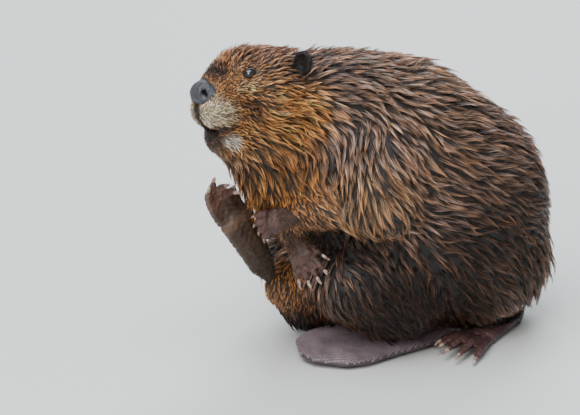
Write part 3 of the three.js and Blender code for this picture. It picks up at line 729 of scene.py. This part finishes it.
def tuftMesh(label, paths, widths, colours, patches, sides=3):  # closed tapered strands as one mesh
    count, rings = paths.shape[0], paths.shape[1] - 1
    along = unit(np.diff(paths, axis=1))
    along = np.concatenate([along, along[:, -1:]], axis=1)
    helper = np.broadcast_to(unit(rng.normal(size=(count, 1, 3))), along.shape)
    across = unit(np.cross(along, helper))
    other = np.cross(along, across)
    perTuft = rings * sides + 1
    verts = np.zeros((count, perTuft, 3))
    for k in range(rings):
        for c in range(sides):
            turn = 2 * math.pi * c / sides
            offset = across[:, k] * math.cos(turn) + other[:, k] * math.sin(turn)
            verts[:, k * sides + c] = paths[:, k] + offset * widths[:, k, None] / 2000
    verts[:, -1] = paths[:, -1]
    faces = [[0, c + 1, c] for c in range(1, sides - 1)]
    for k in range(rings - 1):
        for c in range(sides):
            a, b = k * sides + c, k * sides + (c + 1) % sides
            faces += [[a, b, b + sides], [a, b + sides, a + sides]]
    for c in range(sides):
        faces.append([(rings - 1) * sides + c, (rings - 1) * sides + (c + 1) % sides, perTuft - 1])
    faces = np.array(faces)
    allFaces = (faces[None] + perTuft * np.arange(count)[:, None, None]).reshape(-1, 3)
    mesh = bpy.data.meshes.new(label)
    mesh.vertices.add(count * perTuft)
    mesh.vertices.foreach_set("co", verts.astype(np.float32).ravel())
    mesh.loops.add(allFaces.size)
    mesh.loops.foreach_set("vertex_index", allFaces.astype(np.int32).ravel())
    mesh.polygons.add(len(allFaces))
    mesh.polygons.foreach_set("loop_start", np.arange(0, allFaces.size, 3, dtype=np.int32))
    mesh.update(calc_edges=True)
    mesh.shade_smooth()
    ringOf = np.append(np.repeat(np.arange(rings), sides), rings)
    tint = mesh.color_attributes.new("hairColour", "FLOAT_COLOR", "POINT")
    rgba = np.ones((count, perTuft, 4), np.float32)
    rgba[:, :, :3] = colours[:, ringOf]
    tint.data.foreach_set("color", rgba.ravel())
    sideOf = np.append(np.tile(np.arange(sides), rings), 0.5 * (sides - 1)) / (sides - 1)
    uv = np.empty((count, perTuft, 2), np.float32)
    uv[:, :, 0] = patches[:, 0, None] + patches[:, 2, None] * sideOf
    uv[:, :, 1] = patches[:, 1, None] + patchSize * (ringOf / rings)
    layer = mesh.uv_layers.new(name="OFBake")
    layer.data.foreach_set("uv", uv.reshape(-1, 2)[allFaces.ravel()].ravel())
    piece = bpy.data.objects.new(label, mesh)
    scene.collection.objects.link(piece)
    return piece


# the unwrap of the skin that the tufts' patches follow: six sides of the body, each on its own tile
patchSize = 0.003
boxLow, boxHigh = skinPoints.min(axis=0), skinPoints.max(axis=0)


def skinPatch(points, normals):
    side = np.argmax(np.abs(normals), axis=1)
    tile = side * 2 + (normals[np.arange(len(normals)), side] > 0)
    x, y, z = ((points - boxLow) / (boxHigh - boxLow).max()).T
    u, v = np.choose(side, [y, x, x]), np.choose(side, [z, z, y])
    return np.column_stack([(tile % 3 + 0.02 + 0.96 * u) / 3, (tile // 3 + 0.02 + 0.96 * v) / 2])


# the wet coat: locks of strands that gather towards their tips

wetSet = {  # lift of proud locks and of all, tint of dark ones, spread of strands, and warmth of tips
    "proudLift": 0.55, "lift": 0.4, "darkTint": 0.34, "streaks": 0.56, "ginger": (1.28, 1.0, 0.74),
}


def coat(label, hair, allowed, material):
    spacing, strands, ringCount = hair["spacing"], hair["strands"], hair["rings"]
    points, faces = scatter(spacing, hair["longest"], allowed)
    pointsMm = millimetres(points)
    count = len(points)
    fine = fineness(pointsMm, hair["longest"])
    lengths = hairLength(pointsMm) * hair["longer"] * rng.uniform(0.75, 1.12, count)
    lines, normals = streamlines(points, faces, lengths, ringCount)
    share = np.linspace(0, 1, ringCount + 1)

    # each lock's own line, lifted off the skin, curled and tilted aside
    lifted = rng.uniform(hair["lift"][0], hair["lift"][1], count)
    proud = rng.random(count) < hair["proud"]
    lifted = np.where(proud, lifted + wetSet["proudLift"], lifted)
    depth = coatDepth(pointsMm) * lifted + wetSet["lift"] + stirring(pointsMm) * rng.random(count)
    height = depth[:, None] * (1 - (1 - share[None]) ** 1.6)
    along = unit(np.gradient(lines, axis=1))
    sideways = unit(np.cross(normals, along))
    curl = rng.normal(0, hair["curl"], count) * lengths
    tilt = rng.normal(0, hair["tilt"], count)
    aside = (curl[:, None] * share ** 2 + tilt[:, None] * lengths[:, None] * share) / 1000
    middle = lines + normals * height[:, :, None] / 1000 + sideways * aside[:, :, None]

    # and its colour
    base = markings(pointsMm)
    broad = np.sin(pointsMm @ (0.05, 0.031, 0.043) + 2 * np.sin(pointsMm @ (-0.03, 0.06, 0.02)))
    clumpTint = np.exp(rng.normal(0, hair["patchy"], count)) * (1 + 0.15 * broad)
    clumpTint *= np.where(rng.random(count) < hair["dark"], wetSet["darkTint"], 1)
    warm = rng.normal(0, 1, count)
    hue = 1 + np.column_stack([0.07 * warm, 0.01 * warm, -0.09 * warm])
    shade = hair["rootShade"] + (hair["tipShade"] - hair["rootShade"]) * share ** 1.2
    ginger = np.array(wetSet["ginger"]) ** (share[:, None] ** 2)

    # and its strands, one list entry for each
    patch = skinPatch(points, faceNormals[faces])
    column = np.full(count, patchSize / strands)
    paths, thickness, colours, patches = [], [], [], []
    rows = np.arange(count)[:, None]
    for s in range(strands):
        angle, radius = rng.uniform(0, 2 * math.pi, count), np.sqrt(rng.random(count)) * 0.60 * spacing * fine
        dx, dy = radius * np.cos(angle), radius * np.sin(angle)
        gather = 1 - hair["gather"] * share[None] ** 0.75 * rng.uniform(0.8, 1.04, count)[:, None]
        reach = rng.uniform(0.66, 1.0, count)
        at = share[None] * reach[:, None] * ringCount
        low = np.minimum(at.astype(int), ringCount - 1)
        mix = (at - low)[:, :, None]
        own = middle[rows, low] * (1 - mix) + middle[rows, low + 1] * mix
        own = own + sideways * (dx[:, None] * gather)[:, :, None] / 1000
        own = own + along * (dy[:, None] * gather)[:, :, None] / 1000
        rise = rng.normal(0, 0.09 * spacing, count) * fine
        own = own + normals * (rise[:, None] * share)[:, :, None] / 1000
        own[:, 0] -= normals[:, 0] * 0.0012
        own[:, :, 2] = np.maximum(own[:, :, 2], floorGap["hair"])
        paths.append(own)
        thick = hair["width"] * rng.uniform(0.7, 1.3, count) * np.sqrt(fine)
        thickness.append(thick[:, None] * np.clip(1 - share ** 1.8, 0.04, 1)[None])
        tint = clumpTint * np.exp(rng.normal(-0.06, wetSet["streaks"], count))
        body = np.clip(base * hue * tint[:, None], 0.003, 0.95)[:, None, :] * shade[None, :, None]
        colours.append(body * ginger[None])
        patches.append(np.column_stack([patch[:, 0] + s * column, patch[:, 1], column]))

    order = rng.permutation(count)
    made = 0
    for k in range(hair["pieces"]):
        chosen = np.sort(order[k::hair["pieces"]])
        strandLists = (paths, thickness, colours, patches)
        lists = [np.concatenate([strand[chosen] for strand in values]) for values in strandLists]
        piece = tuftMesh(label + "_" + str(k + 1), *lists)
        piece.data.materials.append(material)
        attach(piece, "root")
        made += len(piece.data.polygons)
    print(label, count, "tufts,", made, "triangles")


# finishes of hair, skin and bare leather

hairMaterial, tree, shader = newMaterial("wet_hair", 0.27, 0.5)
hairTint = addNode(tree, "ShaderNodeAttribute", attribute_name="hairColour")
tree.links.new(hairTint.outputs["Color"], shader.inputs["Base Color"])

skinMaterial, tree, shader = newMaterial("haired_skin", 0.6)
skinTint = addNode(tree, "ShaderNodeAttribute", attribute_name="skinColour")
tree.links.new(skinTint.outputs["Color"], shader.inputs["Base Color"])
nap = addNode(tree, "ShaderNodeTexNoise", Scale=700.0, Detail=3.0, Roughness=0.6)
layOn(tree, nap)
addBump(tree, shader, nap.outputs["Fac"], 0.6, 0.0006)


def bareFinish(name, roughness, pebble, crease, strength, depth):
    material, tree, shader = newMaterial(name, roughness, 0.32)
    tint = addNode(tree, "ShaderNodeAttribute", attribute_name="skinColour")
    pebbles = addNode(tree, "ShaderNodeTexVoronoi", Scale=pebble, Randomness=0.85)
    creases = addNode(tree, "ShaderNodeTexNoise", Scale=crease, Detail=5.0, Roughness=0.62)
    mottle = addNode(tree, "ShaderNodeTexNoise", Scale=60.0, Detail=5.0, Roughness=0.6)
    tone = addNode(tree, "ShaderNodeMapRange")
    for key, value in {"From Min": 0.3, "From Max": 0.7, "To Min": 0.6, "To Max": 1.4}.items():
        tone.inputs[key].default_value = value
    blend = addNode(tree, "ShaderNodeMix", data_type="RGBA", blend_type="MULTIPLY")
    blend.inputs[0].default_value = 1.0
    heights = addNode(tree, "ShaderNodeMath", operation="MULTIPLY_ADD")
    heights.inputs[1].default_value = 0.6
    layOn(tree, pebbles, creases, mottle)
    tree.links.new(mottle.outputs["Fac"], tone.inputs["Value"])
    tree.links.new(tint.outputs["Color"], blend.inputs[6])
    tree.links.new(tone.outputs["Result"], blend.inputs[7])
    tree.links.new(blend.outputs[2], shader.inputs["Base Color"])
    tree.links.new(pebbles.outputs["Distance"], heights.inputs[0])
    tree.links.new(creases.outputs["Fac"], heights.inputs[2])
    addBump(tree, shader, heights.outputs["Value"], strength, depth)
    return material


bareMaterial = bareFinish("bare_skin", 0.36, 520.0, 150.0, 0.7, 0.0009)
noseMaterial = bareFinish("nose_leather", 0.34, 1150.0, 300.0, 0.6, 0.0005)
print("finishes made")

bodyHair = {
    "slot": "body_fur", "pieces": 6, "spacing": 8.4, "longest": 28.0, "strands": 12, "rings": 3,
    "width": 0.88, "longer": 1.0, "lift": (0.45, 1.15), "proud": 0.12, "curl": 0.14, "tilt": 0.14,
    "gather": 0.90, "rootShade": 0.03, "tipShade": 2.1, "patchy": 0.26, "dark": 0.10,
}
faceHair = {
    "slot": "face_fur", "pieces": 2, "spacing": 4.8, "longest": 20.0, "strands": 8, "rings": 3,
    "width": 0.80, "longer": 1.0, "lift": (0.7, 1.9), "proud": 0.26, "curl": 0.16, "tilt": 0.20,
    "gather": 0.92, "rootShade": 0.04, "tipShade": 1.9, "patchy": 0.3, "dark": 0.10,
}
muzzleHair = {
    "slot": "face_fur", "pieces": 1, "spacing": 3.7, "longest": 12.0, "strands": 5, "rings": 2,
    "width": 0.60, "longer": 1.15, "lift": (0.6, 2.2), "proud": 0.25, "curl": 0.2, "tilt": 0.3,
    "gather": 0.85, "rootShade": 0.12, "tipShade": 2.0, "patchy": 0.4, "dark": 0.24,
}
coat("fur_body", bodyHair, lambda p: mayGrow(p) & ~isFace(p), hairMaterial)
coat("fur_face", faceHair, lambda p: mayGrow(p) & isFace(p) & ~isMuzzle(p), hairMaterial)
coat("fur_muzzle", muzzleHair, lambda p: mayGrow(p) & isFace(p) & isMuzzle(p), hairMaterial)


# short fur on the ears and on the upper half of the paws

def shortFur(piece, fur, way, share):
    points, outward, triangles = verticesOf(piece), normalsOf(piece), trianglesOf(piece)
    tree = BVHTree.FromPolygons(points.tolist(), triangles.tolist())
    c = points[triangles]
    area = np.linalg.norm(np.cross(c[:, 1] - c[:, 0], c[:, 2] - c[:, 0]), axis=1) / 2
    chance = area * share(millimetres(c.mean(axis=1)))
    count = int(chance.sum() / (fur["spacing"] / 1000) ** 2)
    face = rng.choice(len(chance), count, p=chance / chance.sum())
    mix = rng.dirichlet((1, 1, 1), count)
    roots = np.sum(c[face] * mix[:, :, None], axis=1)
    n = unit(outward[triangles[face]].mean(axis=1))
    along = unit(np.array(way, float)) + rng.normal(0, 0.28, (count, 3))
    along = unit(along - n * np.sum(along * n, axis=1)[:, None])
    size = fur["length"] * rng.uniform(0.65, 1.2, count) / 1000
    paths = np.repeat((roots - n * 0.0006)[:, None], 3, axis=1)
    for k, (far, high) in enumerate(((0.5, 0.12), (1.0, 0.24))):
        for i, target in enumerate(roots + along * size[:, None] * far):
            hit, normal, _, _ = tree.find_nearest(Vector(target))
            paths[i, k + 1] = 0.7 * np.array(hit) + 0.3 * target + np.array(normal) * size[i] * high
    paths[:, 1:, 2] = np.maximum(paths[:, 1:, 2], floorGap["hair"])
    shade = np.array((0.25, 0.9, 1.7))[None, :, None] * np.exp(rng.normal(0, 0.4, count))[:, None, None]
    corner = np.clip(skinPatch(roots, n), 0, 1 - patchSize)
    patches = np.column_stack([corner, np.full(count, patchSize)])
    widths = np.tile(np.array((1.0, 0.8, 0.05)) * fur["width"], (count, 1))
    return paths, widths, np.array(fur["colour"]) * shade, patches


shortSet = {  # millimetres, and how far down the paw the fur goes
    "right_foot": {
        "spacing": 1.6, "length": 6.0, "width": 0.5, "colour": (0.085, 0.062, 0.046), "down": 0.66,
    },
    "left_foot": {
        "spacing": 1.8, "length": 6.0, "width": 0.55, "colour": (0.070, 0.042, 0.032), "down": 0.42,
    },
    "left_hand": {
        "spacing": 1.35, "length": 8.0, "width": 0.55, "colour": (0.110, 0.062, 0.038), "down": 0.66,
    },
    "right_hand": {
        "spacing": 1.35, "length": 8.0, "width": 0.55, "colour": (0.110, 0.062, 0.038), "down": 0.62,
    },
    "ear": {
        "spacing": 1.25, "length": 5.5, "width": 0.5, "colour": (0.022, 0.014, 0.011), "way": (0.5, 0.35, 0.8),
    },
}
grown = []
for name, (root, ahead, _, _, shape, _) in pawSet.items():
    ahead = unit(np.array(ahead, float))
    end = shortSet[name]["down"] * shape["reach"]
    begin = (shortSet[name]["down"] - 0.3) * shape["reach"]
    grown.append(shortFur(paws[name], shortSet[name], ahead,
                          lambda p: smoothStep(end, begin, (p - np.array(root)) @ ahead)))
for name, sign in (("left_ear", 1), ("right_ear", -1)):
    way = onHead(np.array(eyeLevel) + mirrored(shortSet["ear"]["way"], sign))[0] - onHead(eyeLevel)[0]
    grown.append(shortFur(ears[name], shortSet["ear"], way, lambda p: np.ones(len(p))))
shortPiece = tuftMesh("fur_short", *[np.concatenate(values) for values in zip(*grown)])
shortPiece.data.materials.append(hairMaterial)
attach(shortPiece, "root")
print("fur_short", len(shortPiece.data.polygons), "triangles")


# the skin's colours, and its bare parts joined to it

def paint(piece, colours):
    tint = piece.data.color_attributes.new("skinColour", "FLOAT_COLOR", "POINT")
    rgba = np.ones((len(piece.data.vertices), 4), np.float32)
    rgba[:, :3] = colours
    tint.data.foreach_set("color", rgba.ravel())


underSet = {  # how much of the coat's colour the skin has, kept low for the dark underfur and as painted shade in the gaps between the locks, and colours beside the nose and on the ears
    "body": 0.06, "muzzleMore": 0.16, "shaven": (0.045, 0.045, 0.050), "ear": (0.007, 0.005, 0.005),
}
skinMm = millimetres(skinPoints)
# the skin is painted far darker than the coat above it: the dark underfur, and painted shade in the gaps
# between the locks
underfurAndGapShade = markings(skinMm) * (underSet["body"] + underSet["muzzleMore"] * isMuzzle(skinMm))[:, None]
shaven = smoothStep(5.5, 1.5, noseDistance(inHead(skinMm)))[:, None]
paint(skin, underfurAndGapShade * (1 - shaven) + np.array(underSet["shaven"]) * shaven)
skin.data.materials.append(skinMaterial)
for name, piece in paws.items():
    grounded(piece)
    paint(piece, pawTint[name])
    piece.data.materials.append(bareMaterial)
for piece in ears.values():
    paint(piece, np.tile(underSet["ear"], (len(piece.data.vertices), 1)))
    piece.data.materials.append(skinMaterial)
# the nostril pits are painted almost black, as painted shade inside the nostrils
paint(nosePad, np.array(noseSet["colour"]) * (1 - 0.96 * np.clip(1.2 * nosePit, 0, 1))[:, None])
nosePad.data.materials.append(noseMaterial)
skin = joined([skin] + list(paws.values()) + list(ears.values()) + [nosePad])
skin.name = "skin"
skin.data.shade_smooth()
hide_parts("nose", "left_ear", "right_ear", *fleshNodes, *pawNodes)
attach(skin, "root")
print("skin:", len(skin.data.polygons), "faces")


# eyes and their lids

eyeSet = {"radius": 8.2, "colour": (0.010, 0.008, 0.008, 1), "across": 6.4, "high": 3.3}
lidSet = {"thick": 0.7, "turns": 64, "edge": (0.008, 0.007, 0.008), "outer": (0.030, 0.018, 0.012)}
eyeMaterial, tree, shader = newMaterial("wet_eye", 0.03)
shader.inputs["Base Color"].default_value = eyeSet["colour"]
shader.inputs["Coat Weight"].default_value = 1.0
shader.inputs["Coat Roughness"].default_value = 0.02
lidMaterial = bareFinish("eyelid", 0.3, 1400.0, 500.0, 0.4, 0.0003)


def lidRing(label, centre, outward, forward):  # an almond ring, its outer edge under the skin
    outward, forward = unit(outward), unit(forward - outward * (forward @ outward))
    upward = np.cross(outward, forward)
    if upward[2] < 0:
        upward = -upward
    turns, r = lidSet["turns"], eyeSet["radius"]
    lid = r + lidSet["thick"]
    verts, tints = [], []
    for i in range(turns):
        turn = 2 * math.pi * i / turns
        c, s = math.cos(turn), math.sin(turn)
        half = (abs(c / eyeSet["across"]) ** 2.3 + abs(s / eyeSet["high"]) ** 2.3) ** (-1 / 2.3)
        inner = math.asin(min(half / r, 0.97))
        profile = [
            (1.7, r - 1.4), (inner + 0.2, r + 0.1), (inner, r + 0.2), (inner - 0.02, r + 0.5),
            (inner + 0.05, lid), (inner + 0.16, lid + 0.15), (inner + 0.34, lid - 0.25), (1.7, r - 0.3),
        ]
        for k, (angle, radius) in enumerate(profile):
            way = outward * math.cos(angle) + (forward * c + upward * s) * math.sin(angle)
            verts.append(centre + way * radius)
            tints.append(lidSet["edge"] if k < 5 else lidSet["outer"])
    n = len(profile)
    faces = [[i * n + k, ((i + 1) % turns) * n + k, ((i + 1) % turns) * n + (k + 1) % n, i * n + (k + 1) % n]
             for i in range(turns) for k in range(n)]
    mesh = bpy.data.meshes.new(label)
    mesh.from_pydata([tuple(v) for v in metres(np.array(verts))], [], faces)
    piece = bpy.data.objects.new(label, mesh)
    scene.collection.objects.link(piece)
    makeActive(piece)
    bpy.ops.object.mode_set(mode="EDIT")
    bpy.ops.mesh.select_all(action="SELECT")
    bpy.ops.mesh.normals_make_consistent(inside=False)
    bpy.ops.object.mode_set(mode="OBJECT")
    paint(piece, np.array(tints))
    mesh.materials.append(lidMaterial)
    mesh.shade_smooth()
    return piece


for name in eyes:
    centre = sum(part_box(name), Vector()) / 2
    eye = ballAt(centre, eyeSet["radius"] / 1000, 48, 32)
    eye.name = name + "_ball"
    bpy.ops.object.shade_smooth()
    eye.data.materials.append(eyeMaterial)
    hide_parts(name)
    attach(eye, "root")
    lids = lidRing(name + "_lids", millimetres(centre), *eyes[name])
    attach(lids, "root")
print("eyes and lids")


# claws, smoothed from the nodes' own shapes

clawSet = {"swell": 0.0006, "dark": (0.16, 0.085, 0.066, 1), "pale": (0.52, 0.36, 0.30, 1)}
clawMaterial, tree, shader = newMaterial("claw_horn", 0.28)
streak = addNode(tree, "ShaderNodeTexNoise", Scale=240.0, Detail=3.0)
layOn(tree, streak)
addRamp(tree, shader, streak, [(0.35, clawSet["dark"]), (0.62, clawSet["pale"])])
for paw in pawNodes:
    names = [paw + "_claw_" + str(k) for k in range(1, 6)]
    claws = copyOf(paw + "_claws", names)
    applied(claws, "DISPLACE", strength=clawSet["swell"], mid_level=0)
    applied(claws, "SUBSURF", levels=2, render_levels=2)
    claws.data.shade_smooth()
    claws.data.materials.append(clawMaterial)
    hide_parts(*names)
    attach(claws, "root")


# tail: a leathery core and rows of small plates on its upper side

tailSet = {  # its middle line from above, the plates in millimetres, and where they stop
    "voxel": 0.0019, "line": [(0, 100), (4, 62), (16, 4), (36, -84), (62, -172)],
    "pitch": 3.6, "rise": 0.62, "tuck": 0.5, "bareRoot": 70, "steepest": 0.35,
}
tail = shellOf("tail_core", ["tail"], tailSet["voxel"], 0.0, 10)


def tailFinish(name, roughness, dark, pale):
    material, tree, shader = newMaterial(name, roughness)
    cloud = addNode(tree, "ShaderNodeTexNoise", Scale=38.0, Detail=5.0, Roughness=0.6)
    fine = addNode(tree, "ShaderNodeTexVoronoi", Scale=330.0, Randomness=0.4)
    layOn(tree, cloud, fine)
    addRamp(tree, shader, cloud, [(0.3, dark), (0.7, pale)])
    addBump(tree, shader, fine.outputs["Distance"], 0.5, 0.0006)
    return material


# the core is painted much darker than the plates: its own leather colour, and painted shade in the grooves
# between the plates
tailMaterial = tailFinish("tail_leather_groove_shade", 0.42, (0.040, 0.027, 0.030, 1), (0.085, 0.060, 0.066, 1))
plateMaterial = tailFinish("tail_scales", 0.33, (0.125, 0.092, 0.100, 1), (0.350, 0.262, 0.284, 1))
tail.data.materials.append(tailMaterial)
tail.data.shade_smooth()
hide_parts("tail")
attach(tail, "root")

tailTree = BVHTree.FromPolygons(verticesOf(tail).tolist(), trianglesOf(tail).tolist())
line = np.array(tailSet["line"], float)
tailMm = millimetres(verticesOf(tail))
low, high = tailMm.min(axis=0), tailMm.max(axis=0)
pitch = tailSet["pitch"]
plateCentres, plateNormals, plateAhead = [], [], []
for row, y in enumerate(np.arange(low[1] + 1, high[1] - tailSet["bareRoot"], pitch * 0.86)):
    for x in np.arange(low[0] + 1 + (row % 2) * pitch / 2, high[0] - 1, pitch):
        hit, normal, _, _ = tailTree.ray_cast(Vector(metres((x, y, 60))), Vector((0, 0, -1)))
        if hit is None or normal.z < tailSet["steepest"]:
            continue
        k = int(np.argmin(np.abs((line[:-1, 1] + line[1:, 1]) / 2 - y)))
        plateCentres.append(np.array(hit))
        plateNormals.append(np.array(normal))
        plateAhead.append(np.append(line[k + 1] - line[k], 0))
plateCentres, plateNormals = np.array(plateCentres), np.array(plateNormals)
plateAhead = unit(np.array(plateAhead))
plateAhead = unit(plateAhead - plateNormals * np.sum(plateAhead * plateNormals, axis=1)[:, None])
plateSide = np.cross(plateNormals, plateAhead)
count = len(plateCentres)
radius = pitch * 0.56 / 1000
verts = np.zeros((count, 13, 3))  # a low six-sided roof: foot, shoulder and tip
grow = rng.uniform(0.93, 1.05, count)[:, None]
for c in range(6):
    turn = math.pi * (2 * c + 1) / 6
    spread = (plateSide * math.cos(turn) + plateAhead * math.sin(turn)) * radius * grow
    tilt = 0.00022 * math.sin(turn)
    verts[:, c] = plateCentres + spread * 1.02 - plateNormals * tailSet["tuck"] / 1000
    verts[:, 6 + c] = plateCentres + spread * 0.86 + plateNormals * (0.00012 + tilt)
verts[:, 12] = plateCentres + plateNormals * tailSet["rise"] / 1000
faces = [[c, (c + 1) % 6, 6 + (c + 1) % 6] for c in range(6)]
faces += [[c, 6 + (c + 1) % 6, 6 + c] for c in range(6)]
faces += [[6 + c, 6 + (c + 1) % 6, 12] for c in range(6)]
faces += [[0, c + 1, c] for c in range(1, 5)]
allFaces = (np.array(faces)[None] + 13 * np.arange(count)[:, None, None]).reshape(-1, 3)
mesh = bpy.data.meshes.new("tail_plates")
mesh.from_pydata(verts.reshape(-1, 3).tolist(), [], allFaces.tolist())
plates = bpy.data.objects.new("tail_plates", mesh)
scene.collection.objects.link(plates)
mesh.materials.append(plateMaterial)
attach(plates, "root")
print("tail:", count, "plates")


# whiskers

whiskerSet = {  # millimetres on a level head: the first root, and from one to the next
    "rows": 5, "perRow": 7, "first": (16, -288, 327), "apart": (2.2, 5.0, 3.6), "rings": 7,
    "width": 0.42, "length": (20, 48), "colour": (0.05, 0.035, 0.03),
}
paths, widthList = [], []
t = np.linspace(0, 1, whiskerSet["rings"])[:, None]
firstX, firstY, firstZ = whiskerSet["first"]
apartX, apartY, apartZ = whiskerSet["apart"]
for sign in (-1, 1):
    for row in range(whiskerSet["rows"]):
        for k in range(whiskerSet["perRow"]):
            y = firstY + apartY * k + rng.normal(0, 1)
            z = firstZ + apartZ * row + rng.normal(0, 0.8)
            root = onHead((sign * (firstX + apartX * k), y, z))[0]
            hit = skinTree.find_nearest(Vector(metres(root)))[0]
            start = millimetres(np.array(hit))
            aim = np.array((sign * 0.75, 0.5 + 0.1 * k, -0.30 + 0.12 * row))
            way = unit(onHead(inHead(start)[0] + aim)[0] - start)
            length = rng.uniform(*whiskerSet["length"]) * (0.6 + 0.07 * k)
            bend = np.array((0, 0.35, -0.25)) * length * t ** 2 + rng.normal(0, 0.03, 3) * length * t ** 2
            paths.append(start + way * length * t + bend - way * 2)
            widthList.append(whiskerSet["width"] * (1 - 0.85 * t[:, 0]))
paths = metres(np.array(paths))
colours = np.tile(np.array(whiskerSet["colour"]), (len(paths), whiskerSet["rings"], 1))
patches = np.tile((0.5, 0.5, patchSize), (len(paths), 1))
whiskers = tuftMesh("whiskers", paths, np.array(widthList), colours, patches, 5)
whiskers.data.materials.append(hairMaterial)
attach(whiskers, "root")
print("whiskers")
